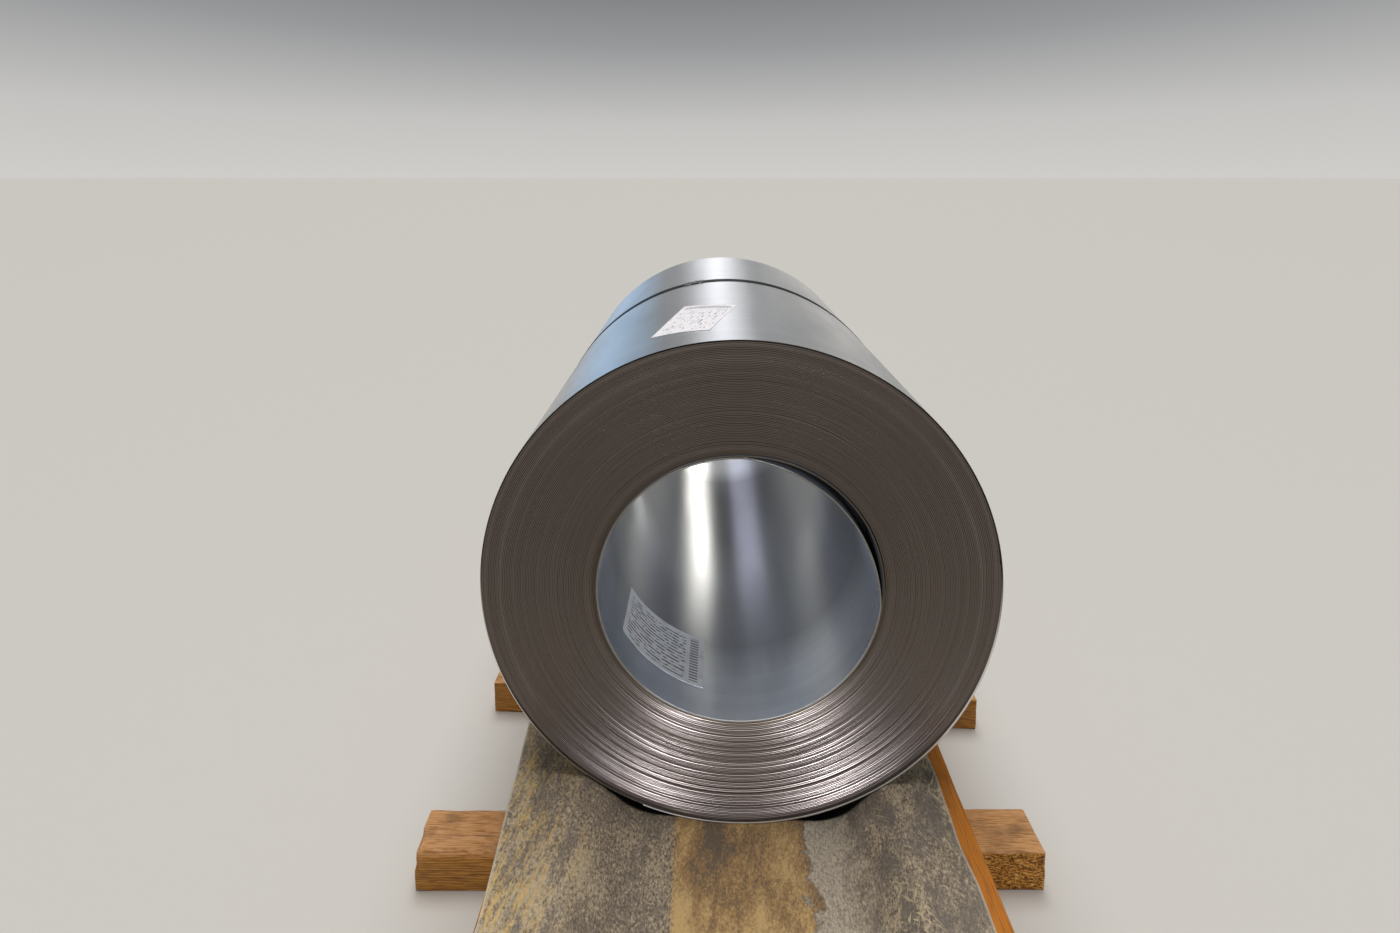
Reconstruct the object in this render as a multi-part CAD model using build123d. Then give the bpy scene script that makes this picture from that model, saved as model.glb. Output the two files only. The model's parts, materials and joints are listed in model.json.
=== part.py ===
from build123d import *
import os
from math import acos, asin, cos, degrees, radians, sin, sqrt

# A steel coil that lies on a rubber belt mat, over two timber rails on four cross bearers.
# The origin is on the floor under the middle of the coil. X runs across the cradle, Y runs
# along the coil's axis with the photographed end towards -Y, and Z is up. Sizes are in mm.

# Winding
strip_width = 1000.0
strip_thickness = 3.0
bore_radius = 254.0
outer_radius = 470.0
tail_angle = 248.0
# Groups of turns between the flush ones at the bore and outside: how many turns each takes, and
# how deep their edges lie, in strip thicknesses
front_groups = [(4, 1.0), (13, 0.33), (12, 0.57), (13, 0.3), (14, 0.53), (2, 0.13), (10, 0.43)]
back_groups = [(4, 0.83), (30, 0.33), (34, 0.57)]

# Loose turns at the bore: the gap behind the innermost turn, and the slit behind the next
loose_gap_middle = 41.5
loose_gap_spread = 93.0
loose_gap_width = 11.0
loose_slit_spread = 84.0
loose_slit_width = 1.5

# Groove between the outermost turns and the rest, open at both ends of the coil
outer_groove_start = 190.0
outer_groove_spread = 170.0
outer_groove_turns = 2
outer_groove_width = 2.0
outer_groove_depth = 25.0

# Strap and seal
strap_width = 32.0
strap_thickness = 0.9
strap_from_front = 565.0
strap_seating = 0.2
seal_angle = 101.0
seal_length = 50.0
seal_sheet = 1.2
seal_clearance = 0.2
seal_notch_radius = 2.0
seal_notch_pitch = 24.0

# Paper labels
label_length = 200.0
label_height = 120.0
label_thickness = 0.2
label_seating = 0.15
outer_label_angle = 99.8
outer_label_from_front = 185.0
outer_label_turn = 17.5
bore_label_angle = 233.3
bore_label_from_front = 122.0
bore_label_turn = -1.5

# Belt mat
mat_thickness = 10.0
mat_length = 1480.0
mat_left_reach = 412.0
mat_right_reach = 378.0
mat_seating = 0.3
mat_contact_half_angle = 11.0
mat_belly_radius = 160.0
strap_channel_clearance = 0.5

# Timber rails
rail_section = 140.0
rail_gap = 540.0
rail_length = 1500.0
rail_inner_arris = 20.0
rail_arris = 3.0

# Cross bearers, laid by hand: how far each lies off the middle, and how far it is turned, in degrees
bearer_section = 80.0
bearer_length = 1200.0
bearer_places = [(-12.0, 1.5), (9.0, -0.9), (-5.0, 0.5), (12.0, -1.5)]
first_bearer_from_rail_end = 284.0
last_bearer_from_rail_end = 170.0
bearer_arris = 4.0

# How far a cutting block reaches past what it cuts, and how deep one stands across the coil's skin
cutting_margin = 1.0
cutter_depth = 60.0

# Worked out from the sizes above
inner_turn_radius = bore_radius + strip_thickness
groove_radius = outer_radius - outer_groove_turns * strip_thickness
spiral_shift = strip_thickness / 4
first_arc_radius = outer_radius - spiral_shift
second_arc_radius = first_arc_radius - 2 * spiral_shift
front_y = -strip_width / 2
first_bearer_y = first_bearer_from_rail_end - rail_length / 2
last_bearer_y = rail_length / 2 - last_bearer_from_rail_end
bearer_pitch = (last_bearer_y - first_bearer_y) / (len(bearer_places) - 1)
rail_top = bearer_section + rail_section
arris_x = rail_gap / 2 + rail_inner_arris
arris_z = rail_top - rail_inner_arris
coil_to_arris = outer_radius + mat_seating + mat_thickness + rail_inner_arris
axis_z = arris_z + sqrt(coil_to_arris**2 - arris_x**2)
contact_angle = degrees(asin(arris_x / coil_to_arris))


def polar(radius, angle, centre=(0.0, 0.0)):
    """A point of the XZ plane at an angle from +X towards +Z."""
    return (centre[0] + radius * cos(radians(angle)), centre[1] + radius * sin(radians(angle)))


def slab(face, start_y, length):
    """Stretches a face drawn in X and Z along +Y, from start_y."""
    plane = Plane(origin=(0, start_y, 0), x_dir=(1, 0, 0), z_dir=(0, -1, 0))
    return extrude(plane * face, amount=length, dir=(0, 1, 0))


def through_coil(face):
    """A cutting block that runs through the coil from end to end."""
    return slab(face, front_y - cutting_margin, strip_width + 2 * cutting_margin)


def winding_outline(offset):
    """The coil's outline one turn long, with the strip's free end as a step, grown by offset.
    Two half turns about centres a quarter of the strip each side of the axis make it spiral."""
    first_centre = polar(spiral_shift, tail_angle)
    second_centre = polar(-spiral_shift, tail_angle)
    first_radius = first_arc_radius + offset
    second_radius = second_arc_radius + offset
    tail = polar(outer_radius + offset, tail_angle)
    opposite = polar(first_radius, tail_angle + 180, first_centre)
    first_top = polar(first_radius, tail_angle + 90, first_centre)
    if offset > 0:
        reach = outer_radius + spiral_shift + offset
        landing = tail_angle - degrees(acos(second_radius / reach))
    else:
        landing = tail_angle
    second_middle = polar(second_radius, (tail_angle + 180 + landing + 360) / 2, second_centre)
    under_tail = polar(second_radius, landing, second_centre)
    edges = [
        ThreePointArc(tail, first_top, opposite),
        ThreePointArc(opposite, second_middle, under_tail),
        Line(under_tail, tail),
    ]
    return make_face(edges)


def crescent(radius, width, start, spread):
    """A gap that opens from nothing to its width and closes again, outside a circle."""
    first = polar(radius, start)
    last = polar(radius, start + spread)
    middle = start + spread / 2
    near = ThreePointArc(first, polar(radius, middle), last)
    far = ThreePointArc(last, polar(radius + width, middle), first)
    return make_face([near, far])


def arc_band(centre, radius, width, middle, spread):
    """A slit of even width along an arc."""
    start = middle - spread / 2
    end = middle + spread / 2
    edges = [
        ThreePointArc(
            polar(radius, start, centre),
            polar(radius, middle, centre),
            polar(radius, end, centre),
        ),
        Line(polar(radius, end, centre), polar(radius + width, end, centre)),
        ThreePointArc(
            polar(radius + width, end, centre),
            polar(radius + width, middle, centre),
            polar(radius + width, start, centre),
        ),
        Line(polar(radius + width, start, centre), polar(radius, start, centre)),
    ]
    return make_face(edges)


def end_steps(groups, face_y, inward):
    """The stepped edge of one end, from the bore outwards, as points of radius and Y. The turn at
    the bore and the outermost turns are flush, and the groups share the wall between them."""
    turn_pitch = (groove_radius - inner_turn_radius) / sum(turns for turns, depth in groups)
    points = [(bore_radius, face_y), (inner_turn_radius, face_y)]
    radius = inner_turn_radius
    for turns, depth in groups:
        y = face_y + inward * depth * strip_thickness
        points.append((radius, y))
        radius += turns * turn_pitch
        points.append((radius, y))
    points.append((radius, face_y))
    points.append((outer_radius + strip_thickness, face_y))
    return points


def coil_winding():
    """The wound strip as one turned solid with its bore, its stepped ends and its loose turns."""
    front = end_steps(front_groups, front_y, 1)
    back = end_steps(back_groups, -front_y, -1)
    profile = make_face(Polyline(*front, *reversed(back), close=True))
    turned = revolve(profile, Axis.Y)
    wound = turned & through_coil(winding_outline(0))

    gap_start = loose_gap_middle - loose_gap_spread / 2
    loose_gap = crescent(inner_turn_radius, loose_gap_width, gap_start, loose_gap_spread)
    wound -= through_coil(loose_gap)

    # The gap's far side is an arc about a centre of its own, and the next turn follows it
    far_radius = inner_turn_radius + loose_gap_width
    half = radians(loose_gap_spread / 2)
    shift = (far_radius**2 - inner_turn_radius**2) / (2 * (far_radius - inner_turn_radius * cos(half)))
    slit_radius = far_radius - shift + strip_thickness
    slit_centre = polar(shift, loose_gap_middle)
    slit = arc_band(slit_centre, slit_radius, loose_slit_width, loose_gap_middle, loose_slit_spread)
    wound -= through_coil(slit)

    groove = crescent(groove_radius, outer_groove_width, outer_groove_start, outer_groove_spread)
    cut_length = outer_groove_depth + cutting_margin
    wound -= slab(groove, front_y - cutting_margin, cut_length)
    wound -= slab(groove, -front_y - outer_groove_depth, cut_length)
    return Pos(0, 0, axis_z) * wound


def strap():
    """One steel strap pulled tight round the coil, which bridges the step at the strip's end."""
    start_y = front_y + strap_from_front - strap_width / 2
    band = winding_outline(strap_seating + strap_thickness) - winding_outline(strap_seating)
    return Pos(0, 0, axis_z) * slab(band, start_y, strap_width)


def strap_seal():
    """A crimped sheet seal that saddles the strap, with notches along both edges."""
    inner_height = strap_seating + strap_thickness + seal_clearance
    inner_width = strap_width + 2 * seal_clearance
    outer_width = inner_width + 2 * seal_sheet
    outer_height = inner_height + seal_sheet
    cover = winding_outline(outer_height) - winding_outline(strap_seating)
    hollow = winding_outline(inner_height) - winding_outline(strap_seating / 2)
    middle_y = front_y + strap_from_front
    shell = slab(cover, middle_y - outer_width / 2, outer_width)
    shell -= slab(hollow, middle_y - inner_width / 2, inner_width)
    seal_place = Rot(0, -seal_angle, 0) * Pos(second_arc_radius, middle_y, 0)
    saddle = shell & (seal_place * Box(cutter_depth, 2 * outer_width, seal_length))
    for side in (-1, 1):
        for step in (-0.5, 0.5):
            spot = Pos(0, side * outer_width / 2, step * seal_notch_pitch) * Rot(0, 90, 0)
            saddle -= seal_place * spot * Cylinder(seal_notch_radius, cutter_depth)
    return Pos(0, 0, axis_z) * saddle


def label_cutter(radius, angle, from_front, turn, along, across):
    """A block that stands on the surface at an angle round the coil, turned about its normal."""
    chord = 2 * radius * sin(across / (2 * radius))
    block = Rot(-turn, 0, 0) * Box(cutter_depth, along, chord)
    return Rot(0, -angle, 0) * (Pos(radius, front_y + from_front, 0) * block)


def outer_label():
    """A paper label stuck on top of the coil."""
    sheet = winding_outline(label_seating + label_thickness) - winding_outline(label_seating)
    shell = slab(sheet, front_y, outer_label_from_front + label_length)
    cutter = label_cutter(
        outer_radius, outer_label_angle, outer_label_from_front, outer_label_turn, label_length, label_height
    )
    return Pos(0, 0, axis_z) * (shell & cutter)


def bore_label():
    """A paper label stuck inside the bore."""
    face_radius = bore_radius - label_seating
    sheet = make_face(Circle(face_radius).edges()) - make_face(Circle(face_radius - label_thickness).edges())
    shell = slab(sheet, front_y, bore_label_from_front + label_length)
    cutter = label_cutter(
        bore_radius, bore_label_angle, bore_label_from_front, bore_label_turn, label_height, label_length
    )
    return Pos(0, 0, axis_z) * (shell & cutter)


def tangent_crossing(first_angle, first_distance, second_angle, second_distance):
    """Where two lines cross. A line is given by its distance below the coil's axis, square to
    it, and by how far that direction leans from straight down, in degrees towards +X."""
    a1, b1 = sin(radians(first_angle)), -cos(radians(first_angle))
    a2, b2 = sin(radians(second_angle)), -cos(radians(second_angle))
    scale = a1 * b2 - a2 * b1
    x = (first_distance * b2 - second_distance * b1) / scale
    z = (a1 * second_distance - a2 * first_distance) / scale
    return x, z + axis_z


def mat_surface(depth):
    """One surface of the draped mat, as an open line, at a depth below the side that carries the coil."""
    distance = outer_radius + mat_seating + depth
    flat = axis_z - rail_top - mat_thickness + depth
    bend_x, bend_z = tangent_crossing(contact_angle, distance, 0, flat)
    belly_x, belly_z = tangent_crossing(contact_angle, distance, mat_contact_half_angle, distance)
    bottom_x, bottom_z = tangent_crossing(mat_contact_half_angle, distance, -mat_contact_half_angle, distance)
    bend_radius = rail_inner_arris + mat_thickness - depth
    points = [
        (-mat_left_reach, bend_z),
        (-bend_x, bend_z),
        (-belly_x, belly_z),
        (bottom_x, bottom_z),
        (belly_x, belly_z),
        (bend_x, bend_z),
        (mat_right_reach, bend_z),
    ]
    belly = mat_belly_radius + depth
    return FilletPolyline(*points, radius=[bend_radius, belly, distance, belly, bend_radius])


def belt_mat():
    """The rubber belt draped over the rails and pressed down by the coil, with the strap let into it."""
    top = mat_surface(0)
    underside = mat_surface(mat_thickness)
    ends = [Line(top @ 0, underside @ 0), Line(top @ 1, underside @ 1)]
    section = make_face([*top.edges(), *underside.edges(), *ends])
    mat = slab(section, -mat_length / 2, mat_length)
    channel_offset = strap_seating + strap_thickness + strap_channel_clearance
    channel_width = strap_width + 2 * strap_channel_clearance
    channel_y = front_y + strap_from_front - channel_width / 2
    return mat - Pos(0, 0, axis_z) * slab(winding_outline(channel_offset), channel_y, channel_width)


def rail(side):
    """A square timber rail along the coil, with the arris that carries the mat rounded off."""
    centre_x = side * (rail_gap + rail_section) / 2
    centre_z = bearer_section + rail_section / 2
    timber = Pos(centre_x, 0, centre_z) * Box(rail_section, rail_length, rail_section)
    long_edges = timber.edges().filter_by(Axis.Y)
    inner_top = long_edges.sort_by_distance((side * rail_gap / 2, 0, rail_top))[0]
    timber = fillet(inner_top, rail_inner_arris)
    by_x = timber.edges().filter_by(Axis.Y).group_by(Axis.X)
    outer_edges = by_x[-1] if side > 0 else by_x[0]
    return chamfer(outer_edges, rail_arris)


def cross_bearer(index):
    """A square timber across the cradle, with worn top arrises, not quite square to the coil."""
    off_middle, turn = bearer_places[index]
    timber = Box(bearer_length, bearer_section, bearer_section)
    top_edges = timber.edges().filter_by(Axis.X).sort_by(Axis.Z)[-2:]
    timber = chamfer(top_edges, bearer_arris)
    y = first_bearer_y + index * bearer_pitch
    return Pos(off_middle, y, bearer_section / 2) * Rot(0, 0, turn) * timber


os.makedirs("parts", exist_ok=True)
nodes = {
    "coil_winding": coil_winding(),
    "strap": strap(),
    "strap_seal": strap_seal(),
    "outer_label": outer_label(),
    "bore_label": bore_label(),
    "belt_mat": belt_mat(),
    "rail_left": rail(-1),
    "rail_right": rail(1),
}
for number in range(len(bearer_places)):
    nodes[f"cross_bearer_{number + 1}"] = cross_bearer(number)
for name, solid in nodes.items():
    export_step(solid, f"parts/{name}.step")
print("coil radius", round(outer_radius, 1), "axis height", round(axis_z, 1))
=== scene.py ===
import json
from math import cos, pi, radians, sin

import bmesh
import bpy
import numpy as np
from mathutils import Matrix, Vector


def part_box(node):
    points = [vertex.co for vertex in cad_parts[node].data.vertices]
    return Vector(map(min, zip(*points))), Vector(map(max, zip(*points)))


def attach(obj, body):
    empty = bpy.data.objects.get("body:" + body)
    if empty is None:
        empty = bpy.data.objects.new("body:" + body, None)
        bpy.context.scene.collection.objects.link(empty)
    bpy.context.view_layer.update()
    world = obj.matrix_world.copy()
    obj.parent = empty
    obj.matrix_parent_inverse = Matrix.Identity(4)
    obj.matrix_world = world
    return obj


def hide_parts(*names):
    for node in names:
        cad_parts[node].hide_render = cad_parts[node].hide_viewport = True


# A steel coil on its cradle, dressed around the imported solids. Sizes are in metres, +Z is up,
# the coil's axis lies along Y and its near end faces -Y. Angles round the coil are in degrees
# from +X towards +Z.

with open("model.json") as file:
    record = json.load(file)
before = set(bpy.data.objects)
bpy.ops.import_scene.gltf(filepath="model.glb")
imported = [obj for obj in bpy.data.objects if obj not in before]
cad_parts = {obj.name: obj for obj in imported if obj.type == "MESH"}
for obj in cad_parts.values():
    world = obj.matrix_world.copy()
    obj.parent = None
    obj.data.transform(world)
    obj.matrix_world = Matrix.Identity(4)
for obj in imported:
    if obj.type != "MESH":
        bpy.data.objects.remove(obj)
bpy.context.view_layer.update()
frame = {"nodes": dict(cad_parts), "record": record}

MM = 0.001

# Winding
bore = next(mount for mount in frame["record"]["mounts"] if mount["name"] == "bore")
axis_z = bore["pos_m"][2]
bore_radius = bore["dims"]["r_mm"] * MM
near_y, far_y = [corner.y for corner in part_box("coil_winding")]
strip_thickness = 3 * MM
outer_radius = 470 * MM
tail_angle = 248
spiral_shift = strip_thickness / 4
columns_round = 240

# Turns of the body, between the loose turns at the bore and the outermost strip. Each group is
# how many turns it has and how deep their edges lie in millimetres.
near_groups = [(4, 3.0), (13, 1.0), (12, 1.7), (13, 0.9), (14, 1.6), (2, 0.4), (10, 1.3), (2, 0.2)]
far_groups = [(4, 2.5), (30, 1.0), (34, 1.7), (2, 0.2)]
turn_scatter = 0.13 * MM
turn_play = 0.03 * MM
groove_share = 0.14
groove_depth = 0.45 * MM
shallowest_edge = 0.1 * MM
least_edge_depth = 0.02 * MM
neighbour_weights = [0.25, 0.5, 0.25]

# A turn's edge is rolled over on its bore side, and wanders in waves as it goes round: how deep
# each wave is, and how many there are in a turn
edge_rollover = 0.95 * MM
edge_rollover_scatter = 0.2 * MM
rollover_width_share = 0.3
rollover_depth_share = 0.2
edge_waves = [(0.1 * MM, 2), (0.06 * MM, 5)]

# Loose turns at the bore: the innermost one sags into it, the second one stays where it is
loose_gap_start = -5
loose_gap_spread = 93
loose_gap_width = 15 * MM
loose_turn_sag = 11.5 * MM
loose_gap_depth = 60 * MM
loose_slit_spread = 84
loose_slit_width = 1.5 * MM
loose_slit_ease = 0.9
loose_turn_play = 0.05 * MM
loose_turn_set_back = 0.4 * MM
loose_turns_squeezed = 14

# The outermost strip, from its free end on, and the spiral gap under it
outer_strip_spread = 480
outer_strip_step = 1.5
outer_strip_play = 0.15 * MM
outer_strip_end_ease = 6
outer_turns_following = 24
outer_gap_ends = (300, 330, 415, 475)
outer_gap_width = 1.9 * MM
outer_gap_depth = 25 * MM
tail_lift = 0.9 * MM
tail_lift_spread = 26
strip_lip = 0.3 * MM
strip_rounding_share = 0.3

# How far a face may lie off a place and still count as being there
face_reach = 0.1 * MM
edge_reach = 2 * MM

# Strap
strap_from_near = 565 * MM
strap_width = 32 * MM
strap_thickness = 0.86 * MM
strap_seating = 0.2 * MM
strap_lip = 0.2 * MM
strap_bridge_start = 352

# Labels
label_length = 200 * MM
label_height = 120 * MM
label_thickness = 0.2 * MM
label_seating = 0.15 * MM
label_corner_lift = 0.45 * MM
label_corner_sharpness = 6
label_columns = 48
label_rows = 30
label_margin = 8 * MM

# Belt mat
mat_thickness = 10 * MM
mat_length = 1480 * MM
mat_left_reach = 412 * MM
mat_right_reach = 378 * MM
mat_seating = 0.3 * MM
mat_contact_half_angle = 11
mat_belly_radius = 160 * MM
mat_wave = 1.6 * MM
mat_dent = 0.5 * MM
mat_nick = 3 * MM
mat_step = 8 * MM
mat_strap_dip = 1.6 * MM
mat_sag_left = 6 * MM
mat_sag_right = 12 * MM

# Its edges are cut a little slanting, between these places along it
mat_left_offset = 7 * MM
mat_left_slant = 17 * MM
mat_left_slanting = (-713 * MM, -398 * MM, 0, 700 * MM)
mat_right_slant = 6 * MM
mat_right_slanting = (-300 * MM, 200 * MM)

# Where the mat is free to move, off the coil's middle plane, past its ends and by its strap, and
# the size of its waves, dents and nicks across it and along it
mat_leaves_coil = (120 * MM, 170 * MM)
mat_meets_rail = (215 * MM, 262 * MM)
mat_sagging = (95 * MM, 160 * MM, 185 * MM, 258 * MM)
mat_dip_across = (150 * MM, 230 * MM)
mat_dip_along = (18 * MM, 30 * MM)
mat_lines_by_strap = np.array([-28, -22, -17, 17, 22, 28]) * MM
mat_waves_from = 120 * MM
mat_dents_from = 30 * MM
mat_wave_cells = (110 * MM, 170 * MM)
mat_dent_cells = (18 * MM, 26 * MM)
mat_nick_cells = (60 * MM, 1.0)

# Timbers
rail_section = 140 * MM
rail_gap = 540 * MM
rail_length = 1500 * MM
rail_inner_arris = 20 * MM
bearer_section = 80 * MM
bearer_length = 1200 * MM
bearer_places = [(-12 * MM, 1.5), (9 * MM, -0.9), (-5 * MM, 0.5), (12 * MM, -1.5)]
first_bearer_from_rail_end = 284 * MM
last_bearer_from_rail_end = 170 * MM
worn_arris = 4 * MM
sawn_arris = 1.5 * MM

# How use leaves a timber's arrises, and the size of what it leaves along them
arris_unevenness = 0.45
wear_cells = (45 * MM, 1.0)
chip_depth = 9 * MM
chip_rarity = 0.55
chip_offset = 7.5
chip_cells = (26 * MM, 1.0)
crush_depth = 13 * MM
crush_unevenness = 0.3
crush_cells = (14 * MM, 1.0, 1.0)
crushed_from = (360 * MM, 400 * MM)

# Hollows, saw marks and fibres in its faces: how deep, and how long, broad and high
timber_marks = [
    (0.7 * MM, (130 * MM, 35 * MM, 35 * MM)),
    (0.25 * MM, (16 * MM, 300 * MM, 300 * MM)),
    (0.3 * MM, (60 * MM, 8 * MM, 8 * MM)),
]

# Lines across its faces: close together by the arrises, and with even steps between them
arris_lines = np.array([0, 1, 2.5, 4.5, 7.5, 12]) * MM
timber_steps = (9 * MM, 7 * MM, 7 * MM)

rail_top = bearer_section + rail_section
arris_x = rail_gap / 2 + rail_inner_arris
coil_to_arris = outer_radius + mat_seating + mat_thickness + rail_inner_arris
contact_angle = np.degrees(np.arcsin(arris_x / coil_to_arris))

# Chance values come from a table, looked up with large primes
table_size = 4096
primes = (73856093, 19349663, 83492791)


def smoothstep(value, low, high):
    """Nought below low, one above high, and smooth between."""
    share = np.clip((np.asarray(value, float) - low) / (high - low), 0, 1)
    return share * share * (3 - 2 * share)


def plateau(value, start, risen, falling, end):
    """Nought outside start and end, one between risen and falling, and smooth between."""
    return smoothstep(value, start, risen) * (1 - smoothstep(value, falling, end))


def lumps(points, cell, seed):
    """Smooth chance values between -1 and 1, whose lumps have the given size along each axis."""
    table = np.random.default_rng(seed).uniform(-1, 1, table_size)
    scaled = np.asarray(points) / np.array(cell)
    corner = np.floor(scaled).astype(np.int64)
    share = smoothstep(scaled - corner, 0, 1)
    axes = scaled.shape[-1]
    total = np.zeros(scaled.shape[:-1])
    for step in np.ndindex((2,) * axes):
        key = np.zeros(scaled.shape[:-1], np.int64)
        for axis in range(axes):
            key = key ^ ((corner[..., axis] + step[axis]) * primes[axis])
        weight = np.prod(np.where(step, share, 1 - share), axis=-1)
        total = total + weight * table[key % table_size]
    return total


def round_the_coil(radius, angle, y):
    """Points from arrays of radius, angle and Y."""
    turned = np.radians(angle)
    x = radius * np.cos(turned)
    z = axis_z + radius * np.sin(turned)
    return np.stack([x, y + 0 * x, z], axis=-1)


def grid(points, close_rows=False, close_columns=False):
    """Quads over a grid of points, which is rows by columns by XYZ."""
    rows, columns = points.shape[:2]
    index = np.arange(rows * columns).reshape(rows, columns)
    if close_rows:
        index = np.vstack([index, index[:1]])
    if close_columns:
        index = np.hstack([index, index[:, :1]])
    corners = [index[:-1, :-1], index[:-1, 1:], index[1:, 1:], index[1:, :-1]]
    return points.reshape(-1, 3), np.stack(corners, axis=-1).reshape(-1, 4)


def carried_round(section, angle, closed=True):
    """Quads over a section that is carried round the coil. It is given as radius and Y."""
    points = np.stack([round_the_coil(radius, angle, y) for radius, y in section])
    return grid(points, close_rows=True, close_columns=closed)


def sheet(under, top):
    """Quads over both sides and the rim of a sheet, from two grids of points."""
    rows, columns = top.shape[:2]
    count = rows * columns
    faces = grid(top)[1]
    border = np.concatenate([
        np.arange(columns - 1),
        np.arange(columns - 1, count - 1, columns),
        np.arange(count - 1, count - columns, -1),
        np.arange(count - columns, 0, -columns),
    ])
    after = np.roll(border, -1)
    rim = np.stack([border, after, after + count, border + count], axis=-1)
    points = np.concatenate([under.reshape(-1, 3), top.reshape(-1, 3)])
    return points, np.concatenate([faces, faces + count, rim])


def make_mesh(name, parts, sharp_angle=35, weld=False):
    """One closed mesh of several parts. Open ends are capped, and faces look outwards."""
    starts = np.cumsum([0] + [len(points) for points, quads in parts[:-1]])
    all_points = np.concatenate([points for points, quads in parts])
    all_quads = np.concatenate([quads + start for (points, quads), start in zip(parts, starts)])
    mesh = bpy.data.meshes.new(name)
    mesh.from_pydata(all_points.tolist(), [], all_quads.tolist())
    work = bmesh.new()
    work.from_mesh(mesh)
    if weld:
        bmesh.ops.remove_doubles(work, verts=work.verts, dist=0.001 * MM)
    bmesh.ops.holes_fill(work, edges=work.edges, sides=0)
    bmesh.ops.recalc_face_normals(work, faces=work.faces)
    work.to_mesh(mesh)
    work.free()
    mesh.shade_smooth()
    mesh.set_sharp_from_angle(angle=radians(sharp_angle))
    return mesh


def dress(name, mesh, node, slot, *materials):
    """Puts a mesh in the scene as the piece that stands for a node."""
    piece = bpy.data.objects.new(name, mesh)
    bpy.context.scene.collection.objects.link(piece)
    for material in materials:
        mesh.materials.append(material)
    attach(piece, "root")
    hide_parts(node)
    return piece


def colour(text):
    """An sRGB hex value as linear red, green, blue and alpha."""
    channels = [int(text[i:i + 2], 16) / 255 for i in (1, 3, 5)]
    linear = [c / 12.92 if c <= 0.04045 else ((c + 0.055) / 1.055) ** 2.4 for c in channels]
    return (*linear, 1)


def add_node(tree, kind, *inputs, **settings):
    """Adds a node. Inputs fill its open sockets in their order, and settings are its properties
    or its sockets by name. A node that is given as a value stands for its first open output, and
    a hex value for its colour."""
    node = tree.nodes.new("ShaderNode" + kind)
    named = {name: value for name, value in settings.items() if name in node.inputs}
    for name, value in settings.items():
        if name not in named:
            setattr(node, name, value)
    in_order = zip([socket for socket in node.inputs if socket.enabled], inputs)
    by_name = [(node.inputs[name], value) for name, value in named.items()]
    for socket, value in [*in_order, *by_name]:
        if isinstance(value, bpy.types.Node):
            value = next(output for output in value.outputs if output.enabled)
        if isinstance(value, bpy.types.NodeSocket):
            tree.links.new(value, socket)
        else:
            socket.default_value = colour(value) if isinstance(value, str) else value
    return node


def new_material(name):
    """An empty material and its node tree."""
    material = bpy.data.materials.new(name)
    material.use_nodes = True
    material.node_tree.nodes.clear()
    return material, material.node_tree


def give_surface(material, sockets):
    """Gives a material the shader that carries its look."""
    shader = add_node(material.node_tree, "BsdfPrincipled", **sockets)
    add_node(material.node_tree, "OutputMaterial", shader)
    return material


def set_bands(ramp, *bands):
    """Gives a colour ramp its bands, each a place along it and a colour."""
    elements = ramp.color_ramp.elements
    while len(elements) < len(bands):
        elements.new(1.0)
    for element, (place, shade) in zip(elements, bands):
        element.position = place
        element.color = colour(shade)
    return ramp


def add_up(tree, *values):
    """The sum of several values, each given with its weight."""
    total = 0.0
    for value, weight in values:
        total = add_node(tree, "Math", value, weight, total, operation="MULTIPLY_ADD")
    return total


def overlap(tree, *shares):
    """The product of several shares from 0 to 1. A tuple stands for a value, what it is where the
    share is 0 and where it is 1, and the share's own ends if they aren't 0 and 1."""
    product = 1.0
    for share in shares:
        if isinstance(share, tuple):
            share = add_node(tree, "MapRange", *share)
        product = add_node(tree, "Math", product, share, operation="MULTIPLY")
    return product


def lay_coats(tree, tone, *coats):
    """Lays coats of colour over a tone. Each shows where its shares overlap."""
    for coat, *shares in coats:
        tone = add_node(tree, "Mix", overlap(tree, *shares), tone, coat, data_type="RGBA")
    return tone


def relief(tree, *layers):
    """A normal from layers of height, each with how deep it goes in metres."""
    below = {}
    for height, depth in layers:
        below = {"Normal": add_node(tree, "Bump", Strength=1.0, Distance=depth, Height=height, **below)}
    return below["Normal"]


def stretched_noise(tree, place, cell, detail=2.0, rough=0.5, turned=(0, 0, 0)):
    """Noise whose cells have the given size along X, Y and Z in millimetres, turned about them in
    degrees."""
    spun = add_node(tree, "Mapping", place, Rotation=[radians(angle) for angle in turned])
    mapped = add_node(tree, "Mapping", spun, Scale=[1 / (side * MM) for side in cell])
    return add_node(tree, "TexNoise", mapped, Scale=1.0, Detail=detail, Roughness=rough)


def from_axis(tree, place):
    """A place seen from the coil's axis: how far off it is, and the place with the axis as zero
    and with its distance from the axis in place of Y."""
    level = add_node(tree, "VectorMath", place, (0, 0, axis_z), operation="SUBTRACT")
    flat = add_node(tree, "VectorMath", level, (1, 0, 1), operation="MULTIPLY")
    radius = add_node(tree, "VectorMath", flat, operation="LENGTH")
    unit = add_node(tree, "VectorMath", flat, operation="NORMALIZE")
    arc = add_node(tree, "VectorMath", unit, (bore_radius + outer_radius) / 2, operation="SCALE")
    ends = add_node(tree, "SeparateXYZ", arc).outputs
    return radius, add_node(tree, "CombineXYZ", ends["X"], radius, ends["Z"])


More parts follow.
